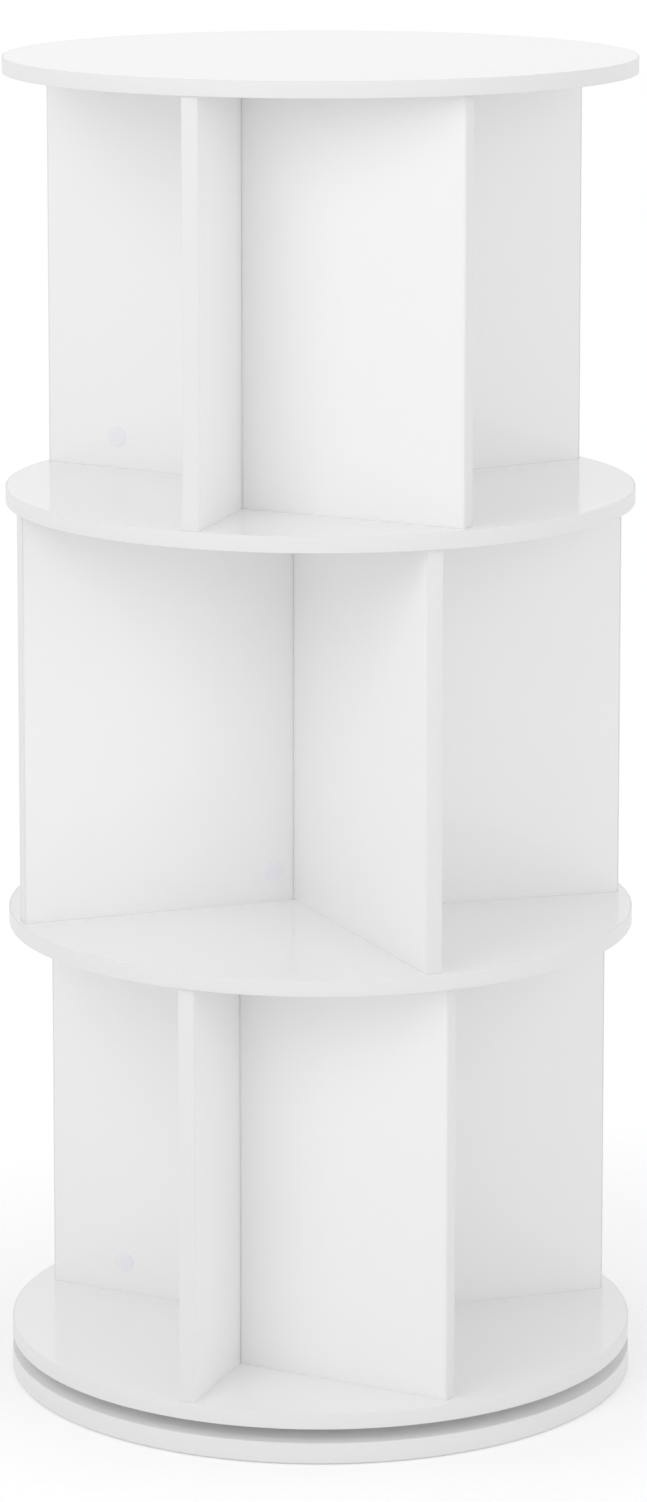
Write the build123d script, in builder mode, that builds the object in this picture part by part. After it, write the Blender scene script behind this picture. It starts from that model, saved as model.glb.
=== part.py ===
"""Revolving bookcase: three tiers of upright panels between round shelves, on a ball bearing base.

Millimetres, +Z up. The origin is on the floor, on the axis that the shelves turn about.
"""
from collections import namedtuple
from math import cos, radians, sin, sqrt
import os

from build123d import *

os.makedirs("parts", exist_ok=True)

# Discs: four shelves that turn and a thicker base below them
disc_radius = 235.0
disc_thick = 12.0
base_thick = 15.0
disc_band = 1.0
disc_band_round = 0.4
disc_skin = 4.0
tier_height = 308.0

# Panels: upright boards that stand on one disc and carry the next
panel_thick = 12.0
panel_band = 1.0
panel_gap = 0.1
glue_line = 0.03

# Cam fittings: a disc in a pocket near the panel's foot pulls on a bolt in the shelf
cam_diameter = 15.0
cam_rise = 24.0
cam_skin = 2.5
cam_recess = 0.8
cam_from_outer_end = 63.0
cam_from_inner_end = 48.0
cam_key_width = 1.6
cam_key_depth = 2.0
bolt_diameter = 6.0
bolt_head_diameter = 6.6
bolt_head_height = 4.0
bolt_neck_diameter = 4.0
bolt_neck_height = 4.0
bolt_room = 0.35
cap_diameter = 16.0
cap_thick = 0.8
cap_round = 0.3
cap_spigot = 0.5

# Dowels: glued pins at the foot and the head of each panel
dowel_diameter = 6.0
dowel_in_panel = 18.0
dowel_foot_from_outer_end = 32.0
dowel_foot_from_inner_end = 16.0
dowel_head_from_outer_end = 44.0
dowel_head_from_inner_end = 22.0
dowel_room = 0.5

# Turntable bearing between the base and the bottom shelf
bearing_height = 10.5
plate_radius = 100.0
plate_thick = 1.6
ball_diameter = 6.0
ball_count = 24
race_radius = 60.0
race_width = 12.0
race_rise = 2.0
cage_width = 13.0
cage_thick = 1.0
dish_radius = 22.0
dish_rise = 2.4
dish_slope = 4.0
rivet_radius = 5.0
rivet_head_radius = 9.0
rivet_head_height = 2.0
access_diameter = 16.0

# Wood screws that hold the two bearing plates
screw_diameter = 4.0
screw_length = 8.0
screw_head_diameter = 8.0
screw_head_height = 2.2
screw_head_round = 0.8
screw_count = 4
screw_drive_width = 1.2
screw_drive_depth = 1.0

# Pads under the base
pad_diameter = 24.0
pad_height = 1.0
pad_from_edge = 35.0
pad_count = 6

# Clearances
fit_room = 0.05
run_room = 0.05
overrun = 1.0

# Levels, from the floor up: each tier stands on the shelf of the same number
tier_names = ["bottom", "middle", "top"]
shelf_names = ["bottom_shelf", "lower_shelf", "upper_shelf", "top_disc"]
base_floor = pad_height
bearing_floor = base_floor + base_thick
bearing_mid = bearing_floor + bearing_height / 2
bearing_top = bearing_floor + bearing_height
tier_pitch = disc_thick + tier_height
shelf_floors = [bearing_top + tier_pitch * level for level in range(len(shelf_names))]
tier_floors = [shelf_floors[tier] + disc_thick for tier in range(len(tier_names))]

# Sizes that follow from the ones above
disc_core_radius = disc_radius - disc_band
blind_depth = disc_thick - disc_skin
cam_pocket_depth = panel_thick - cam_skin
cam_height = cam_pocket_depth - cam_recess
bolt_hole_diameter = bolt_head_diameter + 2 * bolt_room
cam_slot_width = bolt_head_diameter + 2 * bolt_room
cam_slot_top = cam_rise + bolt_head_height / 2 + bolt_room
race_outer_radius = race_radius + race_width / 2
screw_ring_radius = (race_outer_radius + plate_radius) / 2
access_angle = 180 / screw_count
pad_ring_radius = disc_radius - pad_from_edge

# Where each panel stands in its tier, seen from above. The heading is the way from the middle to
# the rim, in degrees from +X. The offset is how far the panel's middle plane lies to the left of
# the axis, and the reach is how far from the axis its outer corner lies, both as shares of the
# disc's radius. The inner end butts on another panel, or starts at a share of the radius. The cam
# sits near one end of the panel, in its left or its right face.
Panel = namedtuple(
    "Panel", "tier name heading offset_share reach_share butts_on start_share cam_end cam_face")
panels = [
    Panel(2, "top_left_panel", 147.5, 0.088, 0.983, "top_front_panel", None, "outer", "left"),
    Panel(2, "top_front_panel", 253.4, -0.114, 0.990, None, 0.020, "outer", "right"),
    Panel(2, "top_cross_panel", 331.7, -0.531, 0.969, "top_front_panel", None, "outer", "left"),
    Panel(2, "top_right_panel", 31.6, -0.014, 0.971, "top_front_panel", None, "outer", "left"),
    Panel(1, "middle_left_panel", 200.5, -0.062, 0.986, "middle_back_panel", None, "inner", "left"),
    Panel(1, "middle_front_panel", 293.6, -0.051, 0.983, "middle_left_panel", None, "outer", "left"),
    Panel(1, "middle_right_panel", 15.1, -0.119, 0.971, "middle_front_panel", None, "outer", "left"),
    Panel(1, "middle_back_panel", 109.6, -0.080, 0.975, "middle_right_panel", None, "outer", "left"),
    Panel(0, "bottom_left_panel", 151.6, 0.140, 0.926, "bottom_front_panel", None, "outer", "left"),
    Panel(0, "bottom_front_panel", 250.0, -0.078, 0.990, None, 0.060, "outer", "right"),
    Panel(0, "bottom_cross_panel", 331.7, -0.569, 0.967, "bottom_front_panel", None, "outer", "left"),
    Panel(0, "bottom_right_panel", 18.5, -0.073, 0.950, "bottom_front_panel", None, "outer", "left"),
]
panel_named = {panel.name: panel for panel in panels}


def tier_panels(tier):
    """The panels of one tier, or none where there is no such tier."""
    return [panel for panel in panels if panel.tier == tier]


def outward(panel):
    """Unit vector along the panel, from its inner end to the rim."""
    return Vector(cos(radians(panel.heading)), sin(radians(panel.heading)), 0)


def leftward(panel):
    """Unit vector square to the panel, out of its left face."""
    return Vector(-sin(radians(panel.heading)), cos(radians(panel.heading)), 0)


def outer_end(panel):
    """Distance along the panel at which its far corner comes to its reach."""
    reach = panel.reach_share * disc_radius
    far_side = abs(panel.offset_share) * disc_radius + panel_thick / 2
    return sqrt(reach**2 - far_side**2)


def inner_end(panel):
    """Distance along the panel at which its square end meets the panel that it butts on."""
    if panel.butts_on is None:
        return panel.start_share * disc_radius
    other = panel_named[panel.butts_on]
    away = leftward(other)
    offset = other.offset_share * disc_radius
    if away.dot(outward(panel)) < 0:
        away = -away
        offset = -offset
    face = offset + panel_thick / 2 + panel_gap
    middle = panel.offset_share * disc_radius
    sides = [middle - panel_thick / 2, middle + panel_thick / 2]
    ends = [(face - away.dot(leftward(panel)) * side) / away.dot(outward(panel)) for side in sides]
    return max(ends)


def panel_plane(panel, height=0):
    """Plane at a height over the panel's foot: x outward, y to its left, origin on the axis."""
    origin = leftward(panel) * (panel.offset_share * disc_radius)
    origin += Vector(0, 0, tier_floors[panel.tier] + height)
    return Plane(origin=origin, x_dir=outward(panel), z_dir=(0, 0, 1))


def cam_side(panel):
    """Which way the cam's face looks: 1 to the left, -1 to the right."""
    return 1 if panel.cam_face == "left" else -1


def face_plane(panel):
    """Plane on the face that takes the cam: x along the panel, y up, z out of the face."""
    side = cam_side(panel)
    origin = leftward(panel) * (panel.offset_share * disc_radius + side * panel_thick / 2)
    origin += Vector(0, 0, tier_floors[panel.tier])
    return Plane(origin=origin, x_dir=outward(panel) * -side, z_dir=leftward(panel) * side)


def cam_place(panel):
    """Distance along the panel of its cam."""
    if panel.cam_end == "outer":
        return outer_end(panel) - cam_from_outer_end
    return inner_end(panel) + cam_from_inner_end


def cam_spot(panel):
    """Where the cam's middle is on the face plane."""
    return (-cam_side(panel) * cam_place(panel), cam_rise)


def foot_dowel_places(panel):
    """Distances along the panel of the dowels in its foot, one near each end."""
    return [inner_end(panel) + dowel_foot_from_inner_end, outer_end(panel) - dowel_foot_from_outer_end]


def head_dowel_places(panel):
    """Distances along the panel of the dowels in its head, one near each end."""
    return [inner_end(panel) + dowel_head_from_inner_end, outer_end(panel) - dowel_head_from_outer_end]


def finish(built, name):
    """Labels a finished piece and writes it."""
    built.part.label = name
    export_step(built.part, f"parts/{name}.step")


def make_disc_band(name, disc_floor, thick):
    """The edge strip glued round a disc, with its two outer arrises eased."""
    with BuildPart() as band:
        with BuildSketch(Plane.XY.offset(disc_floor)):
            Circle(disc_radius)
            Circle(disc_core_radius + glue_line, mode=Mode.SUBTRACT)
        extrude(amount=thick)
        rims = band.faces().filter_by(GeomType.CYLINDER).sort_by(SortBy.AREA)[-1].edges()
        fillet(rims.filter_by(GeomType.CIRCLE), disc_band_round)
    finish(band, name)


def make_shelf(name, level):
    """One turning disc, bored for the panels that stand on it and for those that carry it."""
    shelf_floor = shelf_floors[level]
    with BuildPart() as shelf:
        with BuildSketch(Plane.XY.offset(shelf_floor)):
            Circle(disc_core_radius)
        extrude(amount=disc_thick)
        for panel in tier_panels(level):
            with BuildSketch(panel_plane(panel)):
                with Locations((cam_place(panel), 0)):
                    Circle(bolt_diameter / 2 + fit_room)
                with Locations(*[(place, 0) for place in foot_dowel_places(panel)]):
                    Circle(dowel_diameter / 2 + fit_room)
            extrude(amount=-blind_depth, mode=Mode.SUBTRACT)
        for panel in tier_panels(level - 1):
            with BuildSketch(panel_plane(panel, tier_height)):
                with Locations(*[(place, 0) for place in head_dowel_places(panel)]):
                    Circle(dowel_diameter / 2 + fit_room)
            extrude(amount=blind_depth, mode=Mode.SUBTRACT)
        if level == 0:
            with BuildSketch(Plane.XY.offset(shelf_floor)):
                with PolarLocations(screw_ring_radius, screw_count):
                    Circle(screw_diameter / 2 + fit_room)
            extrude(amount=screw_length, mode=Mode.SUBTRACT)
    finish(shelf, name)


def make_panel(panel):
    """One upright board, with a cam pocket, a bolt hole and dowel holes in its foot and head."""
    start = inner_end(panel) + panel_band
    end = outer_end(panel) - panel_band
    with BuildPart() as board:
        with BuildSketch(panel_plane(panel)):
            with Locations(((start + end) / 2, 0)):
                Rectangle(end - start, panel_thick)
        extrude(amount=tier_height)
        with BuildSketch(panel_plane(panel)):
            with Locations((cam_place(panel), 0)):
                Circle(bolt_hole_diameter / 2)
        extrude(amount=cam_rise, mode=Mode.SUBTRACT)
        with BuildSketch(face_plane(panel)):
            with Locations(cam_spot(panel)):
                Circle(cam_diameter / 2)
        extrude(amount=-cam_pocket_depth, mode=Mode.SUBTRACT)
        with BuildSketch(panel_plane(panel)):
            with Locations(*[(place, 0) for place in foot_dowel_places(panel)]):
                Circle(dowel_diameter / 2 + fit_room)
        extrude(amount=dowel_in_panel, mode=Mode.SUBTRACT)
        with BuildSketch(panel_plane(panel, tier_height)):
            with Locations(*[(place, 0) for place in head_dowel_places(panel)]):
                Circle(dowel_diameter / 2 + fit_room)
        extrude(amount=-dowel_in_panel, mode=Mode.SUBTRACT)
    finish(board, panel.name)


def make_panel_bands(tier):
    """The edge strips on both upright ends of a tier's panels."""
    with BuildPart() as bands:
        for panel in tier_panels(tier):
            strip = panel_band - glue_line
            middles = [inner_end(panel) + strip / 2, outer_end(panel) - strip / 2]
            with BuildSketch(panel_plane(panel)):
                with Locations(*[(middle, 0) for middle in middles]):
                    Rectangle(strip, panel_thick)
            extrude(amount=tier_height)
    finish(bands, f"{tier_names[tier]}_panel_edge_strips")


def make_cam_discs(tier):
    """The cams of a tier: slotted discs, keyed for a screwdriver, that grip the bolt heads."""
    with BuildPart() as cams:
        for panel in tier_panels(tier):
            face = face_plane(panel)
            spot = cam_spot(panel)
            with BuildSketch(face.offset(-cam_pocket_depth)):
                with Locations(spot):
                    Circle(cam_diameter / 2 - fit_room)
            extrude(amount=cam_height)
            with BuildSketch(panel_plane(panel)):
                with Locations((cam_place(panel), 0)):
                    Rectangle(cam_slot_width, cam_slot_width)
            extrude(amount=cam_slot_top, mode=Mode.SUBTRACT)
            with BuildSketch(face.offset(-cam_recess)):
                with Locations(spot):
                    Rectangle(cam_diameter, cam_key_width)
            extrude(amount=-cam_key_depth, mode=Mode.SUBTRACT)
    finish(cams, f"{tier_names[tier]}_cam_discs")


def make_cam_bolts(tier):
    """The bolts of a tier: screwed into the shelf, with a neck and a head inside the cam."""
    head_floor = cam_rise - bolt_head_height / 2
    neck_floor = head_floor - bolt_neck_height
    with BuildPart() as bolts:
        for panel in tier_panels(tier):
            spot = (cam_place(panel), 0)
            stretches = [
                (-blind_depth, neck_floor, bolt_diameter),
                (neck_floor, head_floor, bolt_neck_diameter),
                (head_floor, head_floor + bolt_head_height, bolt_head_diameter),
            ]
            for low, high, diameter in stretches:
                with BuildSketch(panel_plane(panel, low)):
                    with Locations(spot):
                        Circle(diameter / 2)
                extrude(amount=high - low)
    finish(bolts, f"{tier_names[tier]}_cam_bolts")


def make_cam_caps(tier):
    """The cover caps of a tier: thin lids on the panel's face with a spigot in the pocket."""
    with BuildPart() as caps:
        for panel in tier_panels(tier):
            face = face_plane(panel)
            spot = cam_spot(panel)
            with BuildSketch(face):
                with Locations(spot):
                    Circle(cap_diameter / 2)
            extrude(amount=cap_thick)
            with BuildSketch(face):
                with Locations(spot):
                    Circle(cam_diameter / 2 - fit_room)
            extrude(amount=-cap_spigot)
        outer_faces = [
            caps.faces().sort_by_distance(face_plane(panel).from_local_coords(
                Vector(*cam_spot(panel), cap_thick)))[0]
            for panel in tier_panels(tier)
        ]
        fillet([edge for lid in outer_faces for edge in lid.edges()], cap_round)
    finish(caps, f"{tier_names[tier]}_cam_caps")


def make_dowels(tier, end_name):
    """The dowels in the feet or in the heads of a tier's panels."""
    in_disc = blind_depth - dowel_room
    in_panel = dowel_in_panel - dowel_room
    with BuildPart() as dowels:
        for panel in tier_panels(tier):
            if end_name == "foot":
                places = foot_dowel_places(panel)
                low = -in_disc
            else:
                places = head_dowel_places(panel)
                low = tier_height - in_panel
            with BuildSketch(panel_plane(panel, low)):
                with Locations(*[(place, 0) for place in places]):
                    Circle(dowel_diameter / 2)
            extrude(amount=in_disc + in_panel)
    finish(dowels, f"{tier_names[tier]}_{end_name}_dowels")


def make_base_disc():
    """The disc on the floor, bored for the lower plate's screws and for access to the upper ones."""
    with BuildPart() as base:
        with BuildSketch(Plane.XY.offset(base_floor)):
            Circle(disc_core_radius)
            with PolarLocations(screw_ring_radius, 1, start_angle=access_angle):
                Circle(access_diameter / 2, mode=Mode.SUBTRACT)
        extrude(amount=base_thick)
        with BuildSketch(Plane.XY.offset(bearing_floor)):
            with PolarLocations(screw_ring_radius, screw_count):
                Circle(screw_diameter / 2 + fit_room)
        extrude(amount=-screw_length, mode=Mode.SUBTRACT)
    finish(base, "base_disc")


def make_base_pads():
    """The pads that the base stands on."""
    with BuildPart() as pads:
        with BuildSketch():
            with PolarLocations(pad_ring_radius, pad_count):
                Circle(pad_diameter / 2)
        extrude(amount=pad_height)
    finish(pads, "base_pads")


def make_plate(name, seat, up, rivet_room, with_access):
    """One bearing plate: a pressed disc with a ball race and a dished middle, seen from its seat."""
    dish_top = dish_rise + plate_thick
    race_top = plate_thick + race_rise
    inner_race = race_radius - race_width / 2
    hole = rivet_radius + rivet_room
    outline = [
        (hole, dish_rise),
        (dish_radius, dish_rise),
        (dish_radius + dish_slope, 0),
        (plate_radius, 0),
        (plate_radius, plate_thick),
        (race_outer_radius, plate_thick),
        (race_outer_radius, race_top),
        (inner_race, race_top),
        (inner_race, plate_thick),
        (dish_radius + dish_slope, plate_thick),
        (dish_radius, dish_top),
        (hole, dish_top),
    ]
    section = Plane(origin=(0, 0, seat), x_dir=(1, 0, 0), z_dir=(0, -up, 0))
    with BuildPart() as plate:
        with BuildSketch(section):
            with BuildLine():
                Polyline(*outline, close=True)
            make_face()
            with Locations((race_radius, bearing_height / 2)):
                Circle(ball_diameter / 2 + run_room, mode=Mode.SUBTRACT)
        revolve(axis=Axis.Z)
        with BuildSketch(Plane.XY.offset(seat)):
            with PolarLocations(screw_ring_radius, screw_count):
                Circle(screw_diameter / 2 + fit_room)
            if with_access:
                with PolarLocations(screw_ring_radius, 1, start_angle=access_angle):
                    Circle(access_diameter / 2)
        extrude(amount=plate_thick + overrun, both=True, mode=Mode.SUBTRACT)
    finish(plate, name)


def make_screws(name, seat, up):
    """Pan head wood screws through a bearing plate and into the board that it sits on."""
    with BuildPart() as screws:
        for spot in PolarLocations(screw_ring_radius, screw_count).locations:
            centre = (spot.position.X, spot.position.Y)
            head = Plane(origin=(*centre, seat + up * plate_thick), x_dir=(1, 0, 0), z_dir=(0, 0, up))
            with BuildSketch(head):
                Circle(screw_head_diameter / 2)
            extrude(amount=screw_head_height)
            with BuildSketch(head):
                Circle(screw_diameter / 2)
            extrude(amount=-(plate_thick + screw_length))
            with BuildSketch(head.offset(screw_head_height)):
                Rectangle(screw_head_diameter / 2, screw_drive_width)
                Rectangle(screw_drive_width, screw_head_diameter / 2)
            extrude(amount=-screw_drive_depth, mode=Mode.SUBTRACT)
        crowns = screws.edges().filter_by(GeomType.CIRCLE).group_by(lambda edge: edge.radius)[-1]
        crown_level = seat + up * (plate_thick + screw_head_height)
        fillet(crowns.filter_by_position(Axis.Z, crown_level, crown_level), screw_head_round)
    finish(screws, name)


def make_bearing_cage():
    """The flat ring that spaces the balls."""
    with BuildPart() as cage:
        with BuildSketch(Plane.XY.offset(bearing_mid - cage_thick / 2)):
            Circle(race_radius + cage_width / 2)
            Circle(race_radius - cage_width / 2, mode=Mode.SUBTRACT)
            with PolarLocations(race_radius, ball_count):
                Circle(ball_diameter / 2 + run_room, mode=Mode.SUBTRACT)
        extrude(amount=cage_thick)
    finish(cage, "bearing_cage")


def make_bearing_balls():
    """The balls that run between the two plates."""
    with BuildPart() as balls:
        for spot in PolarLocations(race_radius, ball_count).locations:
            with Locations((spot.position.X, spot.position.Y, bearing_mid)):
                Sphere(ball_diameter / 2)
    finish(balls, "bearing_balls")


def make_bearing_rivet():
    """The rivet through both dished middles: it keeps the plates together and centres them."""
    lower_head_top = bearing_floor + dish_rise - run_room
    upper_head_floor = bearing_top - dish_rise + run_room
    outline = [
        (0, lower_head_top - rivet_head_height),
        (rivet_head_radius, lower_head_top - rivet_head_height),
        (rivet_head_radius, lower_head_top),
        (rivet_radius, lower_head_top),
        (rivet_radius, upper_head_floor),
        (rivet_head_radius, upper_head_floor),
        (rivet_head_radius, upper_head_floor + rivet_head_height),
        (0, upper_head_floor + rivet_head_height),
    ]
    with BuildPart() as rivet:
        with BuildSketch(Plane.XZ):
            with BuildLine():
                Polyline(*outline, close=True)
            make_face()
        revolve(axis=Axis.Z)
    finish(rivet, "bearing_rivet")


for shelf_level, shelf_name in enumerate(shelf_names):
    make_shelf(shelf_name, shelf_level)
    make_disc_band(f"{shelf_name}_edge_strip", shelf_floors[shelf_level], disc_thick)

for upright in panels:
    make_panel(upright)

for tier_number in range(len(tier_names)):
    make_panel_bands(tier_number)
    make_cam_discs(tier_number)
    make_cam_bolts(tier_number)
    make_cam_caps(tier_number)
    make_dowels(tier_number, "foot")
    make_dowels(tier_number, "head")

make_base_disc()
make_disc_band("base_disc_edge_strip", base_floor, base_thick)
make_base_pads()
make_plate("bearing_lower_plate", bearing_floor, 1, fit_room, True)
make_plate("bearing_upper_plate", bearing_top, -1, run_room, False)
make_screws("bearing_lower_screws", bearing_floor, 1)
make_screws("bearing_upper_screws", bearing_top, -1)
make_bearing_cage()
make_bearing_balls()
make_bearing_rivet()
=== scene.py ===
# %% [markdown]
# # A revolving bookcase in white faced board
#
# The bookcase is a stack of round shelves with upright panels between them, and the stack turns
# on a ball bearing over a round base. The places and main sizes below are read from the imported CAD
# frame, so the looks sit exactly where the construction is.

# %% Load the frame
from math import cos, pi, radians, sin

import bmesh
import bpy
from mathutils import Matrix, Vector, geometry


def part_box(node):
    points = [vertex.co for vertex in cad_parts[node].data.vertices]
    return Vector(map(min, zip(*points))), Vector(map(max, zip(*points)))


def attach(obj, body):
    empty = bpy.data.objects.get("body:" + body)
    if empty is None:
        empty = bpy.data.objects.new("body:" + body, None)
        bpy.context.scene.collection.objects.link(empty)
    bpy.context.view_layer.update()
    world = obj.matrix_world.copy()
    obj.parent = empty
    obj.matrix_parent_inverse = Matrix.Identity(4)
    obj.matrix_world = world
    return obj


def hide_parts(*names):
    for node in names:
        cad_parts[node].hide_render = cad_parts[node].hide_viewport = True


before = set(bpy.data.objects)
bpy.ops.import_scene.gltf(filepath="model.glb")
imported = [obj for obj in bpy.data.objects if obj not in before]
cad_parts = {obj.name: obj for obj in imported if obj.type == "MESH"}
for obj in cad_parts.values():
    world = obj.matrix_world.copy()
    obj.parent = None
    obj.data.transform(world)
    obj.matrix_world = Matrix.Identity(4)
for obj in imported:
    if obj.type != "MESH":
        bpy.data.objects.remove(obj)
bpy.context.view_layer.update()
scene = bpy.context.scene
scene.view_settings.view_transform = "Standard"
# White boards hand light on many times before it fades, so more bounces are followed than usual.
scene.cycles.max_bounces = 20
scene.cycles.diffuse_bounces = 16
mm = 0.001

# %% [markdown]
# ## Reading the boards
#
# Five round boards lie flat and twelve panels stand between them. Each is a CAD node, a mesh of loose
# triangles with its place in its vertices. The sizes could be typed in again, but then they could
# drift from the construction, so small readers take them from the mesh: one finds the plan of an
# upright panel, and one finds the radius and the levels of a disc.

# %% Plans of the panels
level_slack = 0.01 * mm


def plan_of(node):
    """Middle of a panel's foot, unit vectors along and across it, its length, thickness and levels."""
    low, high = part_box(node)
    foot = [v.co.to_2d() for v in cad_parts[node].data.vertices if v.co.z < low.z + level_slack]
    rim = [foot[i] for i in geometry.convex_hull_2d(foot)]
    sides = [second - first for first, second in zip(rim, rim[1:] + rim[:1])]
    along = max(sides, key=lambda side: side.length).normalized()
    across = Vector((-along.y, along.x))
    reach = [point.dot(along) for point in rim]
    width = [point.dot(across) for point in rim]
    middle = along * (min(reach) + max(reach)) / 2 + across * (min(width) + max(width)) / 2
    if middle.dot(along) < 0:
        along = -along
        across = -across
    return {
        "node": node, "middle": middle, "along": along, "across": across,
        "length": max(reach) - min(reach), "thick": max(width) - min(width),
        "floor": low.z, "top": high.z,
    }


panels = [plan_of(name) for name in sorted(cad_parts) if name.endswith("_panel")]
print("panels", len(panels), "thick", round(panels[0]["thick"] / mm, 2), "mm")


# %% Radius and levels of a disc
def disc_of(node):
    """Radius and the two levels of a round node."""
    low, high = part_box(node)
    return min(high.x, high.y, -low.x, -low.y), low.z, high.z


print("top disc radius", round(disc_of("top_disc")[0] / mm, 1), "mm")

# %% [markdown]
# ## Colours and nodes
#
# Colours are picked as sRGB hex values, the way a paint chart gives them, and shaders want linear
# light, so one function converts them. One more adds a node to any tree with its settings, its
# plain values and its links, which keeps every tree below readable from top to bottom. Each finish of
# the bookcase begins with an empty tree and ends in one shader with a tone, a gloss and a relief, so
# two more functions do that.


# %% Colour and node helpers
def paint(hex_code):
    """Linear RGBA of an sRGB hex colour."""
    parts = [int(hex_code[i:i + 2], 16) / 255 for i in (1, 3, 5)]
    return tuple(c / 12.92 if c <= 0.04045 else ((c + 0.055) / 1.055) ** 2.4 for c in parts) + (1.0,)


def add_node(tree, kind, values=None, links=None, **settings):
    """Adds a node: settings are its properties, values fill its inputs, links feed them."""
    node = tree.nodes.new(kind)
    for name, value in settings.items():
        setattr(node, name, value)
    for socket, value in (values or {}).items():
        node.inputs[socket].default_value = value
    for socket, source in (links or {}).items():
        tree.links.new(source, node.inputs[socket])
    return node


def blank_material(name):
    """A material with an empty tree, and its output node."""
    material = bpy.data.materials.new(name)
    material.use_nodes = True
    material.node_tree.nodes.clear()
    return material, material.node_tree, add_node(material.node_tree, "ShaderNodeOutputMaterial")


def end_finish(tree, output, tone, sheen, relief, values):
    """Ends a finish: one shader that takes its tone, its gloss and its relief from three nodes."""
    shader = add_node(tree, "ShaderNodeBsdfPrincipled", values,
                      {"Base Color": tone.outputs["Result"], "Roughness": sheen.outputs["Result"],
                       "Normal": relief.outputs["Normal"]})
    tree.links.new(shader.outputs["BSDF"], output.inputs["Surface"])


# %% [markdown]
# ## Melamine facing
#
# The boards are chipboard faced with white melamine paper, pressed between steel plates. The press
# leaves a fine pebble that breaks the shine, and the resin gives a clear satin gloss, so a shelf
# mirrors the foot of each panel softly. A plain white would look like paper, so a noise gives the
# relief and a slow drift varies tone and gloss a little. The pebble is really about half a
# millimetre, and it is drawn three times as coarse because a finer one would vanish between pixels.

# %% Melamine facing
pebble = 1.5 * mm
pebble_relief = 0.03 * mm
pebble_strength = 0.2
cloud = 140 * mm
facing_gloss = (0.1, 0.14)
plastic_ior = 1.5


def make_melamine():
    """White facing with a pebble in its relief and a slow drift in tone and gloss."""
    material, tree, output = blank_material("white_melamine_facing")
    place = add_node(tree, "ShaderNodeTexCoord")
    grit = add_node(tree, "ShaderNodeTexNoise", {"Scale": 1 / pebble, "Detail": 2.0, "Roughness": 0.55},
                    {"Vector": place.outputs["Object"]})
    drift = add_node(tree, "ShaderNodeTexNoise", {"Scale": 1 / cloud, "Detail": 1.0},
                     {"Vector": place.outputs["Object"]})
    tone = add_node(tree, "ShaderNodeMix", {"A": paint("#F7F7F7"), "B": paint("#F8F8F8")},
                    {"Factor": drift.outputs["Fac"]}, data_type="RGBA")
    sheen = add_node(tree, "ShaderNodeMapRange", {"To Min": facing_gloss[0], "To Max": facing_gloss[1]},
                     {"Value": drift.outputs["Fac"]})
    relief = add_node(tree, "ShaderNodeBump", {"Strength": pebble_strength, "Distance": pebble_relief},
                      {"Height": grit.outputs["Fac"]})
    end_finish(tree, output, tone, sheen, relief, {"IOR": plastic_ior})
    return material


melamine = make_melamine()
print("made", melamine.name)

# %% [markdown]
# ## Edge strip
#
# The raw edge of each board is covered by a thin strip of white ABS that is ironed on. It comes off
# a roll, so it carries fine lines along its length, and it is a touch darker and duller than the
# facing. The lines follow the height alone, so a noise of one dimension draws them. On a disc the
# strip's two ends meet in a butt joint, which is turned to the back.

# %% Edge strip
roll_line = 2.0 * mm
roll_relief = 0.02 * mm
roll_strength = 0.1
strip_gloss = (0.32, 0.42)
butt_width = 0.4 * mm
butt_from = 0.9 * disc_of("top_disc")[0]


def make_edge_strip():
    """White strip with lines along its length, and a grey butt joint at the back of a disc."""
    material, tree, output = blank_material("white_abs_edge_strip")
    place = add_node(tree, "ShaderNodeTexCoord")
    split = add_node(tree, "ShaderNodeSeparateXYZ", links={"Vector": place.outputs["Object"]})
    lines = add_node(tree, "ShaderNodeTexNoise", {"Scale": 1 / roll_line, "Detail": 1.0},
                     {"W": split.outputs["Z"]}, noise_dimensions="1D")
    aside = add_node(tree, "ShaderNodeMath", links={0: split.outputs["X"]}, operation="ABSOLUTE")
    narrow = add_node(tree, "ShaderNodeMath", {1: butt_width / 2}, {0: aside.outputs["Value"]},
                      operation="LESS_THAN")
    behind = add_node(tree, "ShaderNodeMath", {1: butt_from}, {0: split.outputs["Y"]},
                      operation="GREATER_THAN")
    butt = add_node(tree, "ShaderNodeMath",
                    links={0: narrow.outputs["Value"], 1: behind.outputs["Value"]}, operation="MULTIPLY")
    tone = add_node(tree, "ShaderNodeMix", {"A": paint("#EEEEEE"), "B": paint("#9B9C9E")},
                    {"Factor": butt.outputs["Value"]}, data_type="RGBA")
    sheen = add_node(tree, "ShaderNodeMapRange", {"To Min": strip_gloss[0], "To Max": strip_gloss[1]},
                     {"Value": lines.outputs["Fac"]})
    relief = add_node(tree, "ShaderNodeBump", {"Strength": roll_strength, "Distance": roll_relief},
                      {"Height": lines.outputs["Fac"]})
    end_finish(tree, output, tone, sheen, relief, {"IOR": plastic_ior})
    return material


edge_strip = make_edge_strip()
print("made", edge_strip.name)

# %% [markdown]
# ## Small hardware finishes
#
# Apart from the caps, the rest is seen through the gap, from below or not at all, but it is finished
# too. Plated steel and zinc are metals with a rolled or cast grain, the caps, cage and pads are
# plastic or rubber with a moulded grain, and the dowels are bare beech with long pores. Each could
# have a tree of its own, but they differ only in colours, grain size, gloss and relief, so one
# function makes all of them.

# %% Grained finish
grain_relief = 0.03 * mm
even = (1, 1, 1)


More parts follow.
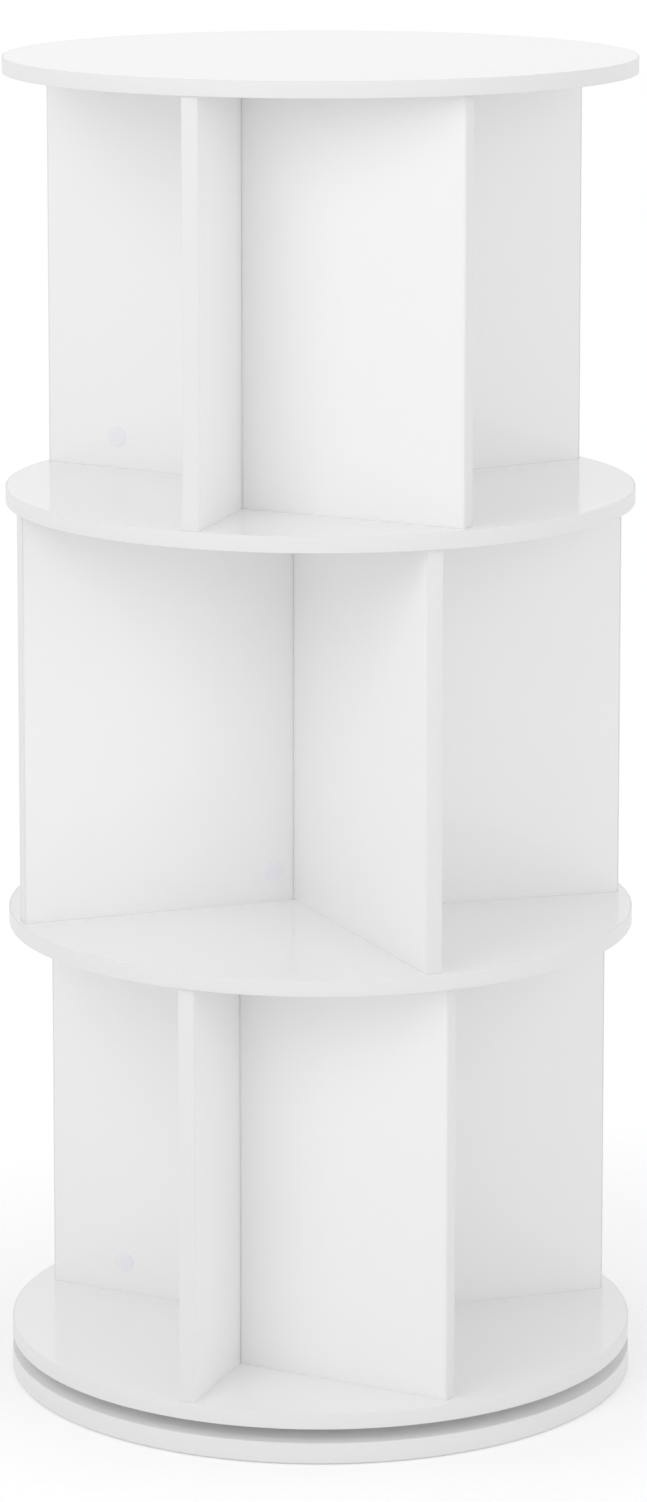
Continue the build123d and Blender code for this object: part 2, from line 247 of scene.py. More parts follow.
def make_grained(name, dark, light, grain, stretch, gloss, metallic=0.0, strength=0.15):
    """A finish with a stretched grain between two tones. The grain is a size in metres."""
    material, tree, output = blank_material(name)
    place = add_node(tree, "ShaderNodeTexCoord")
    pull = add_node(tree, "ShaderNodeMapping", {"Scale": stretch}, {"Vector": place.outputs["Object"]})
    fleck = add_node(tree, "ShaderNodeTexNoise", {"Scale": 1 / grain, "Detail": 3.0},
                     {"Vector": pull.outputs["Vector"]})
    tone = add_node(tree, "ShaderNodeMix", {"A": paint(dark), "B": paint(light)},
                    {"Factor": fleck.outputs["Fac"]}, data_type="RGBA")
    sheen = add_node(tree, "ShaderNodeMapRange", {"To Min": gloss[0], "To Max": gloss[1]},
                     {"Value": fleck.outputs["Fac"]})
    relief = add_node(tree, "ShaderNodeBump", {"Strength": strength, "Distance": grain_relief},
                      {"Height": fleck.outputs["Fac"]})
    end_finish(tree, output, tone, sheen, relief, {"Metallic": metallic})
    return material


# %% Small hardware finishes
# Moulded polyethylene, a little bluer than the board, with the dull bloom of a soft plastic.
cap_plastic = make_grained("pale_polyethylene_cap", "#F0F0F5", "#F2F2F7", 1.2 * mm, even, (0.38, 0.5))
# Zinc plated sheet steel, drawn in a press, with faint streaks from the roll.
plate_steel = make_grained("zinc_plated_steel", "#A9AAAD", "#C2C3C6", 2 * mm, (1, 12, 1), (0.28, 0.42),
                           metallic=1.0)
# Die cast zinc, matt and grey from the mould.
cast_zinc = make_grained("die_cast_zinc", "#8F9093", "#A6A7AA", 1 * mm, even, (0.4, 0.55), metallic=1.0)
# Ground and polished ball steel, with a sharp mirror shine.
ball_steel = make_grained("polished_ball_steel", "#C9CACD", "#D6D7DA", 4 * mm, even, (0.08, 0.14),
                          metallic=1.0, strength=0.02)
# Natural nylon, moulded, with a warm ivory tint and a soft gloss.
nylon = make_grained("natural_nylon", "#D6D3C6", "#DEDBCF", 1.5 * mm, even, (0.4, 0.5))
# Soft rubber foam pads, dull from their open pores.
pad_rubber = make_grained("grey_rubber_pad", "#4B4C4E", "#5E5F61", 0.8 * mm, even, (0.75, 0.9), strength=0.5)
# Bare beech, dull and warm, with pores that run up the dowel.
beech = make_grained("bare_beech", "#B08A5C", "#CDAA7C", 1 * mm, (1, 1, 0.08), (0.55, 0.7), strength=0.3)
print("made", len(bpy.data.materials), "materials so far")

# %% [markdown]
# ## Turning discs and their strips
#
# A disc is a solid of revolution, so it is made like work on a lathe: a short outline of radius and
# height is carried round the axis. A primitive cylinder would have knife edges, and real boards
# have none. The strip's outer corners are eased with a small radius, and the facing is trimmed back
# a hair where it meets the strip, which draws the fine line seen round each disc.

# %% Lathe
turn_steps = 288
sharp_from = 35


def crisp(mesh):
    """Smooth faces, with the edges at sharp corners kept sharp."""
    bm = bmesh.new()
    bm.from_mesh(mesh)
    for face in bm.faces:
        face.smooth = True
    for edge in bm.edges:
        edge.smooth = len(edge.link_faces) == 2 and edge.calc_face_angle(0) < radians(sharp_from)
    bm.to_mesh(mesh)
    bm.free()
    return mesh


def mesh_from(bm, name):
    """Turns a bmesh into a mesh with crisp shading and frees it."""
    mesh = bpy.data.meshes.new(name)
    bm.to_mesh(mesh)
    bm.free()
    return crisp(mesh)


def turned(name, outline, hollow):
    """Carries an outline of (radius, height) round the axis. A hollow one is closed to a ring."""
    bm = bmesh.new()
    turns = [2 * pi * step / turn_steps for step in range(turn_steps)]
    rings = [[bm.verts.new((radius * cos(a), radius * sin(a), height)) for a in turns]
             for radius, height in outline]
    following = rings[1:] + rings[:1] if hollow else rings[1:]
    for ring, other in zip(rings, following):
        for step in range(turn_steps):
            after = (step + 1) % turn_steps
            bm.faces.new((ring[step], ring[after], other[after], other[step]))
    if not hollow:
        bm.faces.new(rings[0])
        bm.faces.new(rings[-1])
    bmesh.ops.recalc_face_normals(bm, faces=bm.faces)
    return mesh_from(bm, name)


# %% Outlines of a disc and its strip
facing_trim = 0.08 * mm
glue_line = 0.03 * mm
strip_round = 0.4 * mm
round_steps = 4


def board_outline(core, floor, top):
    """Outline of a disc's board, with both faces trimmed back at the rim."""
    return [(core - facing_trim, floor), (core, floor + facing_trim),
            (core, top - facing_trim), (core - facing_trim, top)]


def strip_outline(core, rim, floor, top):
    """Outline of an edge strip, a glue line away from the board, with its outer corners eased."""
    turns = [pi / 2 * step / round_steps for step in range(round_steps + 1)]
    bend = rim - strip_round
    foot = [(bend + strip_round * sin(a), floor + strip_round * (1 - cos(a))) for a in turns]
    head = [(bend + strip_round * cos(a), top - strip_round * (1 - sin(a))) for a in turns]
    inner = core + glue_line
    return [(inner, floor + facing_trim), *foot, *head, (inner, top - facing_trim)]


print("strip corners eased by", round(strip_round / mm, 2), "mm in", round_steps, "steps")

# %% [markdown]
# ## The access hole
#
# The bottom shelf is screwed to the bearing from below, and the screwdriver goes through a round
# hole in the base disc. The hole lies off the axis, where the lathe can't make it, so it is drilled
# after the turning, with a Boolean cut.

# %% Drill
drill_sides = 64
drill_overrun = 2


def drilled(mesh, spot, radius, depth):
    """Cuts an upright round hole through a mesh and returns the mesh that is left."""
    bm = bmesh.new()
    bmesh.ops.create_cone(bm, cap_ends=True, segments=drill_sides, radius1=radius, radius2=radius,
                          depth=depth, matrix=Matrix.Translation(spot))
    bit_mesh = bpy.data.meshes.new("bit")
    bm.to_mesh(bit_mesh)
    bm.free()
    blank = bpy.data.objects.new("blank", mesh)
    bit = bpy.data.objects.new("bit", bit_mesh)
    for thing in (blank, bit):
        scene.collection.objects.link(thing)
    cut = blank.modifiers.new("cut", "BOOLEAN")
    cut.object = bit
    cut.operation = "DIFFERENCE"
    left = bpy.data.meshes.new_from_object(blank.evaluated_get(bpy.context.evaluated_depsgraph_get()))
    left.name = mesh.name
    bpy.data.objects.remove(blank)
    bpy.data.objects.remove(bit)
    return crisp(left)


def corners_of(spots):
    """Lowest and highest corners of the box round some points."""
    return tuple(Vector(pick(spot[axis] for spot in spots) for axis in range(3)) for pick in (min, max))


def access_hole():
    """Middle and radius of the hole through the base disc, read from its lower face."""
    core, floor, top = disc_of("base_disc")
    rim = [v.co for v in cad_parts["base_disc"].data.vertices
           if v.co.z < floor + level_slack and v.co.to_2d().length < core / 2]
    low, high = corners_of(rim)
    return Vector(((low.x + high.x) / 2, (low.y + high.y) / 2, (floor + top) / 2)), (high.x - low.x) / 2


hole_spot, hole_radius = access_hole()
print("access hole", round(2 * hole_radius / mm, 1), "mm wide at", [round(v, 4) for v in hole_spot])

# %% [markdown]
# ## From mesh to piece
#
# A mesh becomes a piece of the bookcase when it has an object, a finish, a body to ride on and the
# names of the CAD nodes that it stands for. The five discs and their strips are the first ones.


# %% Make a piece
def show(name, mesh, material, body, slot, *nodes):
    """Makes a finished piece: its object, its finish, the body it rides on and what it stands for."""
    mesh.materials.clear()
    mesh.materials.append(material)
    piece = bpy.data.objects.new(name, mesh)
    scene.collection.objects.link(piece)
    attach(piece, body)
    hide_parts(*nodes)


# %% Discs
discs = ("base_disc", "bottom_shelf", "lower_shelf", "upper_shelf", "top_disc")
for node in discs:
    body = "base" if node == "base_disc" else "carousel"
    core, floor, top = disc_of(node)
    rim = disc_of(f"{node}_edge_strip")[0]
    board = turned(f"{node}_board", board_outline(core, floor, top), False)
    if node == "base_disc":
        board = drilled(board, hole_spot, hole_radius, drill_overrun * (top - floor))
    show(f"{node}_board", board, melamine, body, "white_board", node)
    strip = turned(f"{node}_strip", strip_outline(core, rim, floor, top), True)
    show(f"{node}_strip", strip, edge_strip, body, "white_edge_strip", f"{node}_edge_strip")
print("turned", 2 * len(discs), "pieces")

# %% [markdown]
# ## Upright panels
#
# Each panel is a board with its arrises just broken, standing between two discs. The broken arris is
# what draws the thin dark line along a panel's foot, because little light reaches the bottom of the
# small groove. A plain box would meet the shelf without that line, so each block is bevelled. Both
# upright ends carry an edge strip, and the strips of a tier are one piece.

# %% Panel blocks
arris = 0.25 * mm
strip_arris = 0.2 * mm
arris_steps = 3
strip_reach = 2 * mm
face_slack = 0.05 * mm


def board_block(bm, plan, start, end, ease):
    """Adds one bevelled block of a panel, from one distance along it to another."""
    made = bmesh.ops.create_cube(bm, size=1)["verts"]
    centre = plan["middle"] + plan["along"] * (start + end) / 2
    height = plan["top"] - plan["floor"]
    sides = (plan["along"].to_3d(), plan["across"].to_3d(), Vector((0, 0, 1)))
    turn = Matrix(sides).transposed().to_4x4()
    place = Matrix.Translation((centre.x, centre.y, plan["floor"] + height / 2))
    size = Matrix.Diagonal((end - start, plan["thick"], height, 1))
    bmesh.ops.transform(bm, matrix=place @ turn @ size, verts=made)
    edges = list(dict.fromkeys(edge for vert in made for edge in vert.link_edges))
    bmesh.ops.bevel(bm, geom=edges, offset=ease, segments=arris_steps, profile=0.5, affect="EDGES")


def whole_reach(plan, strips):
    """Distances along a panel, from its middle, of the outer faces of its two edge strips."""
    spots = [v.co.to_2d() - plan["middle"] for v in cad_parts[strips].data.vertices]
    own = [spot.dot(plan["along"]) for spot in spots
           if abs(spot.dot(plan["across"])) < plan["thick"] / 2 + face_slack]
    near = [reach for reach in own if abs(reach) < plan["length"] / 2 + strip_reach]
    return min(near), max(near)


# %% Panels
tiers = ("bottom", "middle", "top")
for tier in tiers:
    strips = bmesh.new()
    strip_node = f"{tier}_panel_edge_strips"
    for plan in [plan for plan in panels if plan["node"].startswith(tier)]:
        block = bmesh.new()
        half = plan["length"] / 2
        board_block(block, plan, -half, half, arris)
        name = f"{plan['node']}_board"
        show(name, mesh_from(block, name), melamine, "carousel", "white_board", plan["node"])
        first, last = whole_reach(plan, strip_node)
        board_block(strips, plan, first, -half - glue_line, strip_arris)
        board_block(strips, plan, half + glue_line, last, strip_arris)
    name = f"{tier}_panel_strips"
    show(name, mesh_from(strips, name), edge_strip, "carousel", "white_edge_strip", strip_node)
print("made", len(panels), "panels with their strips")

# %% [markdown]
# ## Trees for what repeats
#
# Caps, pads, dowels and balls are each one small shape at many places, which is work for Geometry
# Nodes. Each tree gets points and named sizes, shapes one piece and puts a copy on every point. All
# end the same way, in Realize Instances and Set Material, so that a plain mesh can be taken. The
# places come from the separate solids of a CAD node, and one more reader finds those.


# %% Tree helpers
def new_tree(name, inputs):
    """A geometry tree with named inputs: pairs of a name and a socket type."""
    tree = bpy.data.node_groups.new(name, "GeometryNodeTree")
    sockets = {}
    for label, kind in [("Points", "NodeSocketGeometry"), *inputs, ("Finish", "NodeSocketMaterial")]:
        sockets[label] = tree.interface.new_socket(label, in_out="INPUT", socket_type=kind).identifier
    tree.interface.new_socket("Pieces", in_out="OUTPUT", socket_type="NodeSocketGeometry")
    return tree, sockets, add_node(tree, "NodeGroupInput").outputs


def end_tree(tree, given, piece, turn=None):
    """Ends a tree: a copy of the piece on each point, made real and given its finish."""
    links = {"Points": given["Points"], "Instance": piece}
    if turn is not None:
        links["Rotation"] = turn
    copies = add_node(tree, "GeometryNodeInstanceOnPoints", links=links)
    real = add_node(tree, "GeometryNodeRealizeInstances", links={"Geometry": copies.outputs["Instances"]})
    dressed = add_node(tree, "GeometryNodeSetMaterial",
                       links={"Geometry": real.outputs["Geometry"], "Material": given["Finish"]})
    add_node(tree, "NodeGroupOutput", links={"Pieces": dressed.outputs["Geometry"]})


def grow(name, tree, sockets, spots, facings=(), **sizes):
    """Runs a tree on a mesh of points and returns the plain mesh that it makes."""
    mesh = bpy.data.meshes.new(f"{name}_points")
    mesh.from_pydata(spots, [], [])
    arrows = mesh.attributes.new("facing", "FLOAT_VECTOR", "POINT")
    for i, facing in enumerate(facings):
        arrows.data[i].vector = facing
    carrier = bpy.data.objects.new(f"{name}_points", mesh)
    modifier = carrier.modifiers.new(name, "NODES")
    modifier.node_group = tree
    for label, value in sizes.items():
        modifier[sockets[label]] = value
    scene.collection.objects.link(carrier)
    seen = carrier.evaluated_get(bpy.context.evaluated_depsgraph_get())
    made = bpy.data.meshes.new_from_object(seen)
    made.name = name
    carrier.modifiers.remove(modifier)
    bpy.data.objects.remove(carrier)
    triangles = sum(len(face.vertices) - 2 for face in made.polygons)
    print("grew", name, "in", len(spots), "copies with", triangles, "triangles")
    return crisp(made)


# %% Separate solids
weld = 0.001 * mm


def solids_of(node):
    """Lowest and highest corners of each separate solid in a CAD node."""
    bm = bmesh.new()
    bm.from_mesh(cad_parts[node].data)
    bmesh.ops.remove_doubles(bm, verts=bm.verts, dist=weld)
    left = set(bm.verts)
    boxes = []
    while left:
        island = [left.pop()]
        for vert in island:
            near = {edge.other_vert(vert) for edge in vert.link_edges} & left
            left -= near
            island.extend(near)
        boxes.append(corners_of([vert.co.copy() for vert in island]))
    bm.free()
    return sorted(boxes, key=lambda box: tuple(round(v, 5) for v in box[0]))


# %% [markdown]
# ## Cover caps and pads
#
# A cap hides the cam fitting near each panel's foot, and pads under the base keep it off the floor.
# Both are small round lids. They could be turned on the lathe one by one, but one tree serves both: a
# cylinder with rings on its top is drawn down towards its rim by a power of the radius, which gives
# the soft crown of a moulded lid, and the copy on each point is turned to face where the point says.

# %% Lid tree
lid_sides = 48
lid_rings = 7
crown_power = 6.0


def make_lid_tree():
    """A tree of round lids with a crowned top, each turned to face where its point says."""
    tree, sockets, given = new_tree("round_lids", [
        ("Diameter", "NodeSocketFloat"), ("Thickness", "NodeSocketFloat"), ("Crown", "NodeSocketFloat")])
    radius = add_node(tree, "ShaderNodeMath", {1: 0.5}, {0: given["Diameter"]}, operation="MULTIPLY")
    blank = add_node(tree, "GeometryNodeMeshCylinder",
                     {"Vertices": lid_sides, "Side Segments": 1, "Fill Segments": lid_rings},
                     {"Radius": radius.outputs[0], "Depth": given["Thickness"]}, fill_type="TRIANGLE_FAN")
    spot = add_node(tree, "GeometryNodeInputPosition")
    axes = add_node(tree, "ShaderNodeSeparateXYZ", links={"Vector": spot.outputs["Position"]})
    flat = add_node(tree, "ShaderNodeCombineXYZ", links={"X": axes.outputs["X"], "Y": axes.outputs["Y"]})
    out = add_node(tree, "ShaderNodeVectorMath", links={0: flat.outputs["Vector"]}, operation="LENGTH")
    share = add_node(tree, "ShaderNodeMath", links={0: out.outputs["Value"], 1: radius.outputs[0]},
                     operation="DIVIDE")
    fall = add_node(tree, "ShaderNodeMath", {1: crown_power}, {0: share.outputs[0]}, operation="POWER")
    upper = add_node(tree, "ShaderNodeMath", {1: 0.0}, {0: axes.outputs["Z"]}, operation="GREATER_THAN")
    drop = add_node(tree, "ShaderNodeMath", links={0: fall.outputs[0], 1: upper.outputs[0]},
                    operation="MULTIPLY")
    depth = add_node(tree, "ShaderNodeMath", links={0: drop.outputs[0], 1: given["Crown"]},
                     operation="MULTIPLY")
    below = add_node(tree, "ShaderNodeMath", {1: -1.0}, {0: depth.outputs[0]}, operation="MULTIPLY")
    move = add_node(tree, "ShaderNodeCombineXYZ", links={"Z": below.outputs[0]})
    lid = add_node(tree, "GeometryNodeSetPosition",
                   links={"Geometry": blank.outputs["Mesh"], "Offset": move.outputs["Vector"]})
    facing = add_node(tree, "GeometryNodeInputNamedAttribute", {"Name": "facing"}, data_type="FLOAT_VECTOR")
    turn = add_node(tree, "FunctionNodeAlignRotationToVector",
                    links={"Vector": facing.outputs["Attribute"]}, axis="Z")
    end_tree(tree, given, lid.outputs["Geometry"], turn.outputs["Rotation"])
    return tree, sockets


lid_tree, lid_sockets = make_lid_tree()
print("lid tree with", len(lid_tree.nodes), "nodes")

# %% Cover caps
cap_rise = 0.8 * mm
cap_crown = 0.45 * mm
cap_nodes = [f"{tier}_cam_caps" for tier in tiers]
cap_boxes = [box for node in cap_nodes for box in solids_of(node)]


def panel_at(spot):
    """The panel of the same tier that lies nearest to a point."""
    def away(plan):
        offset = spot.to_2d() - plan["middle"]
        past_end = max(0, abs(offset.dot(plan["along"])) - plan["length"] / 2)
        return abs(offset.dot(plan["across"])) + past_end
    return min((plan for plan in panels if plan["floor"] < spot.z < plan["top"]), key=away)


cap_spots = []
cap_facings = []
for low, high in cap_boxes:
    middle = (low + high) / 2
    plan = panel_at(middle)
    offset = middle.to_2d() - plan["middle"]
    side = 1 if offset.dot(plan["across"]) > 0 else -1
    seat = plan["middle"] + plan["along"] * offset.dot(plan["along"])
    seat += plan["across"] * side * (plan["thick"] / 2 + cap_rise / 2)
    cap_spots.append((seat.x, seat.y, middle.z))
    cap_facings.append((plan["across"] * side).to_3d())
caps = grow("cover_caps", lid_tree, lid_sockets, cap_spots, cap_facings,
            Diameter=cap_boxes[0][1].z - cap_boxes[0][0].z, Thickness=cap_rise, Crown=cap_crown,
            Finish=cap_plastic)
show("cover_caps", caps, cap_plastic, "carousel", "pale_cap", *cap_nodes)

# %% Pads under the base
pad_crown = 0.5 * mm
pad_boxes = solids_of("base_pads")
pad_size = pad_boxes[0][1] - pad_boxes[0][0]
pad_spots = [(low + high) / 2 for low, high in pad_boxes]
pads = grow("floor_pads", lid_tree, lid_sockets, pad_spots, [(0, 0, -1)] * len(pad_spots),
            Diameter=pad_size.x, Thickness=pad_size.z, Crown=pad_crown, Finish=pad_rubber)
show("floor_pads", pads, pad_rubber, "base", "grey_pad", "base_pads")

# %% [markdown]
# ## Fluted dowels
#
# Wooden dowels hold each panel in line at its foot and its head. A real one is pressed through a die
# that leaves flutes, by which air and glue get out of the hole, and its ends are chamfered so that
# it finds the hole. The CAD dowel is a plain rod, so a tree makes the real form: a rod of four rings
# whose inner two move out to where the chamfers begin, while a cosine of the angle draws in the
# flutes between them.

# %% Dowel tree
points_per_flute = 4
end_share = 0.4


def make_dowel_tree():
    """A tree of upright dowels with flutes along them and chamfers at both ends."""
    tree, sockets, given = new_tree("fluted_dowels", [
        ("Diameter", "NodeSocketFloat"), ("Length", "NodeSocketFloat"), ("Flutes", "NodeSocketInt"),
        ("Groove", "NodeSocketFloat"), ("Chamfer", "NodeSocketFloat")])
    radius = add_node(tree, "ShaderNodeMath", {1: 0.5}, {0: given["Diameter"]}, operation="MULTIPLY")
    around = add_node(tree, "ShaderNodeMath", {1: points_per_flute}, {0: given["Flutes"]},
                      operation="MULTIPLY")
    rod = add_node(tree, "GeometryNodeMeshCylinder", {"Side Segments": 3},
                   {"Vertices": around.outputs[0], "Radius": radius.outputs[0], "Depth": given["Length"]})
    spot = add_node(tree, "GeometryNodeInputPosition")
    axes = add_node(tree, "ShaderNodeSeparateXYZ", links={"Vector": spot.outputs["Position"]})
    # The rings at the two ends of the rod.
    height = add_node(tree, "ShaderNodeMath", links={0: axes.outputs["Z"]}, operation="ABSOLUTE")
    limit = add_node(tree, "ShaderNodeMath", {1: end_share}, {0: given["Length"]}, operation="MULTIPLY")
    at_end = add_node(tree, "ShaderNodeMath", links={0: height.outputs[0], 1: limit.outputs[0]},
                      operation="GREATER_THAN")
    # How far a point goes in: by the flutes along the rod, by the chamfer at its ends.
    angle = add_node(tree, "ShaderNodeMath", links={0: axes.outputs["Y"], 1: axes.outputs["X"]},
                     operation="ARCTAN2")
    turns = add_node(tree, "ShaderNodeMath", links={0: angle.outputs[0], 1: given["Flutes"]},
                     operation="MULTIPLY")
    wave = add_node(tree, "ShaderNodeMath", links={0: turns.outputs[0]}, operation="COSINE")
    flute = add_node(tree, "ShaderNodeMapRange", {"From Min": -1.0, "To Min": 0.0},
                     {"Value": wave.outputs[0], "To Max": given["Groove"]})
    inset = add_node(tree, "ShaderNodeMix",
                     links={"Factor": at_end.outputs[0], "A": flute.outputs["Result"], "B": given["Chamfer"]})
    pull = add_node(tree, "ShaderNodeMath", {1: -1.0}, {0: inset.outputs["Result"]}, operation="MULTIPLY")
    flat = add_node(tree, "ShaderNodeCombineXYZ", links={"X": axes.outputs["X"], "Y": axes.outputs["Y"]})
    outward = add_node(tree, "ShaderNodeVectorMath", links={0: flat.outputs["Vector"]}, operation="NORMALIZE")
    inward = add_node(tree, "ShaderNodeVectorMath",
                      links={0: outward.outputs["Vector"], "Scale": pull.outputs[0]}, operation="SCALE")
    # The inner rings slide out to the shoulders, where the chamfers begin.
    half = add_node(tree, "ShaderNodeMath", {1: 0.5}, {0: given["Length"]}, operation="MULTIPLY")
    shoulder = add_node(tree, "ShaderNodeMath", links={0: half.outputs[0], 1: given["Chamfer"]},
                        operation="SUBTRACT")
    side = add_node(tree, "ShaderNodeMath", links={0: axes.outputs["Z"]}, operation="SIGN")
    level = add_node(tree, "ShaderNodeMath", links={0: side.outputs[0], 1: shoulder.outputs[0]},
                     operation="MULTIPLY")
    slide = add_node(tree, "ShaderNodeMath", links={0: level.outputs[0], 1: axes.outputs["Z"]},
                     operation="SUBTRACT")
    rise = add_node(tree, "ShaderNodeMix", {"B": 0.0},
                    {"Factor": at_end.outputs[0], "A": slide.outputs[0]})
    upward = add_node(tree, "ShaderNodeCombineXYZ", links={"Z": rise.outputs["Result"]})
    move = add_node(tree, "ShaderNodeVectorMath",
                    links={0: inward.outputs["Vector"], 1: upward.outputs["Vector"]}, operation="ADD")
    dowel = add_node(tree, "GeometryNodeSetPosition",
                     links={"Geometry": rod.outputs["Mesh"], "Offset": move.outputs["Vector"]})
    end_tree(tree, given, dowel.outputs["Geometry"])
    return tree, sockets


# %% Dowels
flute_count = 16
flute_depth = 0.2 * mm
dowel_chamfer = 0.8 * mm
dowel_nodes = [f"{tier}_{end}_dowels" for tier in tiers for end in ("foot", "head")]
dowel_boxes = [box for node in dowel_nodes for box in solids_of(node)]
dowel_size = dowel_boxes[0][1] - dowel_boxes[0][0]
dowel_spots = [(low + high) / 2 for low, high in dowel_boxes]
dowels = grow("fluted_dowels", *make_dowel_tree(), dowel_spots, Diameter=dowel_size.x, Length=dowel_size.z,
              Flutes=flute_count, Groove=flute_depth, Chamfer=dowel_chamfer, Finish=beech)
show("fluted_dowels", dowels, beech, "carousel", "beech_dowel", *dowel_nodes)

# %% [markdown]
# ## Bearing balls
#
# The turntable's balls sit in a ring between the two plates, deep in the gap. The CAD mesh of a ball
# has flat facets that a polished surface would show, so a tree puts a finer, smooth ball on each
# point.

# %% Balls
ball_sides = 32
ball_rings = 18


def make_ball_tree():
    """A tree of balls."""
    tree, sockets, given = new_tree("bearing_balls", [("Diameter", "NodeSocketFloat")])
    radius = add_node(tree, "ShaderNodeMath", {1: 0.5}, {0: given["Diameter"]}, operation="MULTIPLY")
    ball = add_node(tree, "GeometryNodeMeshUVSphere", {"Segments": ball_sides, "Rings": ball_rings},
                    {"Radius": radius.outputs[0]})
    end_tree(tree, given, ball.outputs["Mesh"])
    return tree, sockets


ball_boxes = solids_of("bearing_balls")
ball_spots = [(low + high) / 2 for low, high in ball_boxes]
balls = grow("race_balls", *make_ball_tree(), ball_spots,
             Diameter=ball_boxes[0][1].z - ball_boxes[0][0].z, Finish=ball_steel)
show("race_balls", balls, ball_steel, "bearing_cage_ring", "steel_ball", "bearing_balls")

# %% [markdown]
# ## Hardware that keeps its CAD shape
#
# The bearing plates, the rivet, the cage, the screws with their crossed pan heads, the cams and the
# cam bolts already have the form of the real thing in CAD. Making them again would only copy them, so
# they stay and get their finish in their material slots.

# %% Finishes on the CAD pieces
finishes = {
    "bearing_lower_plate": plate_steel, "bearing_upper_plate": plate_steel, "bearing_rivet": plate_steel,
    "bearing_lower_screws": plate_steel, "bearing_upper_screws": plate_steel, "bearing_cage": nylon,
}
for tier in tiers:
    finishes[f"{tier}_cam_discs"] = cast_zinc
    finishes[f"{tier}_cam_bolts"] = plate_steel
for node, finish in finishes.items():
    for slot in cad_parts[node].material_slots:
        slot.material = finish
print("finished", len(finishes), "CAD pieces")

# %% [markdown]
# ## Floor
#
# The bookcase stands in a white studio. The floor is a matt white that takes the shadow, and what is
# seen of it directly or in a mirror also glows a little. The glow rises outwards from the foot, so the
# rest runs into the white background without a line. Near the foot the weaker glow is painted shade: it
# darkens the floor round the base as a shadow would, on top of the real shadow that the floor takes. A
# brighter lamp would whiten the floor as well, but it would also burn out the white boards.

# %% Floor
near_glow, far_glow = 0.2, 0.31
near_reach, far_reach = 0.24, 0.7
floor_half = 12.0


def seen_rays(tree):
    """A socket that is 1 for what the camera sees, directly, in a mirror or through glass."""
    path = add_node(tree, "ShaderNodeLightPath").outputs
    seen = add_node(tree, "ShaderNodeMath", links={0: path["Is Camera Ray"], 1: path["Is Glossy Ray"]},
                    operation="MAXIMUM")
    shown = add_node(tree, "ShaderNodeMath", links={0: seen.outputs[0], 1: path["Is Transmission Ray"]},
                     operation="MAXIMUM")
    return shown.outputs[0]


def make_floor_finish():
    """A matt white that also glows where it is seen, more so away from the foot, so that the weaker glow near
    the foot paints a shade round the base.
    """
    material, tree, output = blank_material("studio_floor")
    place = add_node(tree, "ShaderNodeTexCoord")
    away = add_node(tree, "ShaderNodeVectorMath", links={0: place.outputs["Object"]}, operation="LENGTH")
    # Painted shade: less glow near the foot darkens the floor round the base, on top of its real shadow.
    rise = add_node(tree, "ShaderNodeMapRange", {"From Min": near_reach, "From Max": far_reach,
                                                 "To Min": near_glow, "To Max": far_glow},
                    {"Value": away.outputs["Value"]})
    lift = add_node(tree, "ShaderNodeMath", links={0: seen_rays(tree), 1: rise.outputs["Result"]},
                    operation="MULTIPLY")
    matt = add_node(tree, "ShaderNodeBsdfDiffuse", {"Color": paint("#F4F4F4")})
    glow = add_node(tree, "ShaderNodeEmission", links={"Strength": lift.outputs[0]})
    both = add_node(tree, "ShaderNodeAddShader", links={0: matt.outputs["BSDF"], 1: glow.outputs["Emission"]})
    tree.links.new(both.outputs["Shader"], output.inputs["Surface"])
    return material


floor_mesh = bpy.data.meshes.new("studio_floor")
corners = [(x * floor_half, y * floor_half, 0) for x, y in ((-1, -1), (1, -1), (1, 1), (-1, 1))]
floor_mesh.from_pydata(corners, [], [(0, 1, 2, 3)])
floor_mesh.materials.append(make_floor_finish())
floor_object = bpy.data.objects.new("studio_floor", floor_mesh)
scene.collection.objects.link(floor_object)
print("floor", 2 * floor_half, "m wide")

# %% [markdown]
# ## Light
#
# The photograph has soft light from all round, with a little more from the left. A world lights the
# whole object evenly: it is plain white where it is seen, and as light it falls from the horizon to
# the zenith, so that level faces don't outshine upright ones. Two large soft lamps stand at the left
# and the right of the camera, and the left one is stronger, so faces that turn left are brighter.

# %% World
horizon_level = 0.96
zenith_level = 0.66


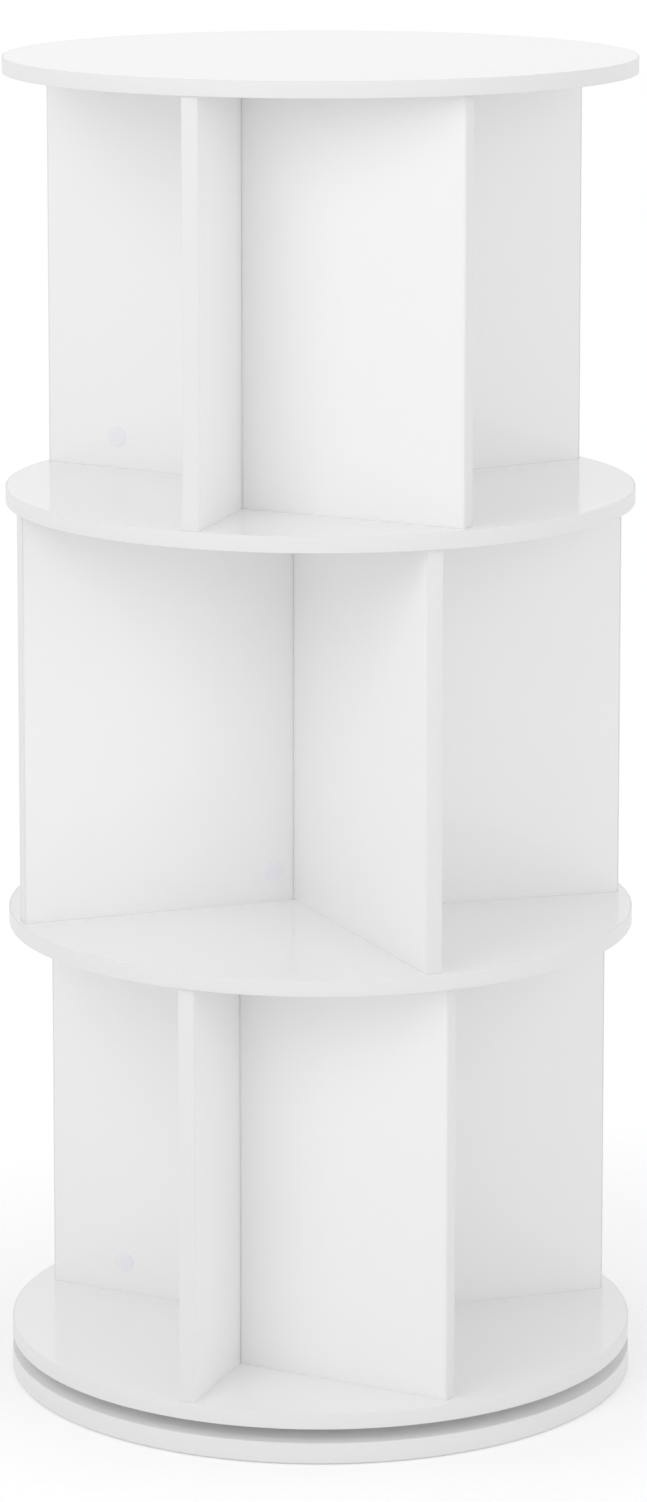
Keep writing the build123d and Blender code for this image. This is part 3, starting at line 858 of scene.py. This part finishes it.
def make_world():
    """White where it is seen or mirrored; as light, a soft fall from horizon to zenith."""
    world = bpy.data.worlds.new("white_studio")
    world.use_nodes = True
    tree = world.node_tree
    tree.nodes.clear()
    place = add_node(tree, "ShaderNodeTexCoord")
    split = add_node(tree, "ShaderNodeSeparateXYZ", links={"Vector": place.outputs["Generated"]})
    fall = add_node(tree, "ShaderNodeMapRange", {"To Min": horizon_level, "To Max": zenith_level},
                    {"Value": split.outputs["Z"]})
    level = add_node(tree, "ShaderNodeMix", {"B": 1.0},
                     {"Factor": seen_rays(tree), "A": fall.outputs["Result"]})
    light = add_node(tree, "ShaderNodeBackground", {"Color": (1, 1, 1, 1)},
                     {"Strength": level.outputs["Result"]})
    add_node(tree, "ShaderNodeOutputWorld", links={"Surface": light.outputs["Background"]})
    return world


scene.world = make_world()
print("world", horizon_level, "at the horizon,", zenith_level, "at the zenith")

# %% Lamps
lamp_aim = (0, 0, 0.8)
key_place, key_size, key_watts = (-1.2, -1.7, 1.9), 1.2, 8.0
fill_place, fill_size, fill_watts = (1.6, -2.2, 1.6), 1.4, 5.2


def soft_lamp(name, place, size, watts):
    """A square area lamp that looks at the bookcase and shows in no mirror."""
    lamp = bpy.data.lights.new(name, "AREA")
    lamp.size = size
    lamp.energy = watts
    holder = bpy.data.objects.new(name, lamp)
    holder.location = place
    holder.rotation_euler = (Vector(lamp_aim) - Vector(place)).to_track_quat("-Z", "Y").to_euler()
    holder.visible_glossy = False
    holder.visible_camera = False
    scene.collection.objects.link(holder)
    print(name, watts, "W")


soft_lamp("key_lamp", key_place, key_size, key_watts)
soft_lamp("fill_lamp", fill_place, fill_size, fill_watts)

# %% [markdown]
# ## Camera
#
# The photograph looks down on the top disc from a few metres away, yet all its discs are about equally
# wide. A camera that is only tilted would make the base clearly narrower, and one that is only shifted
# would push the bookcase out of the frame in other views, so this one tilts for part of the way and
# shifts for the rest.

# %% Camera
camera_place = (0, -3.749, 1.298)
camera_tilt = 8.17
camera = bpy.data.cameras.new("camera")
camera.sensor_width = 36
camera.lens = 121.9
camera.shift_x = 0.002
camera.shift_y = -0.2507
camera_holder = bpy.data.objects.new("camera", camera)
camera_holder.location = camera_place
camera_holder.rotation_euler = (radians(90 - camera_tilt), 0, 0)
scene.collection.objects.link(camera_holder)
scene.camera = camera_holder
print("camera", camera.lens, "mm, tilted", camera_tilt, "degrees")
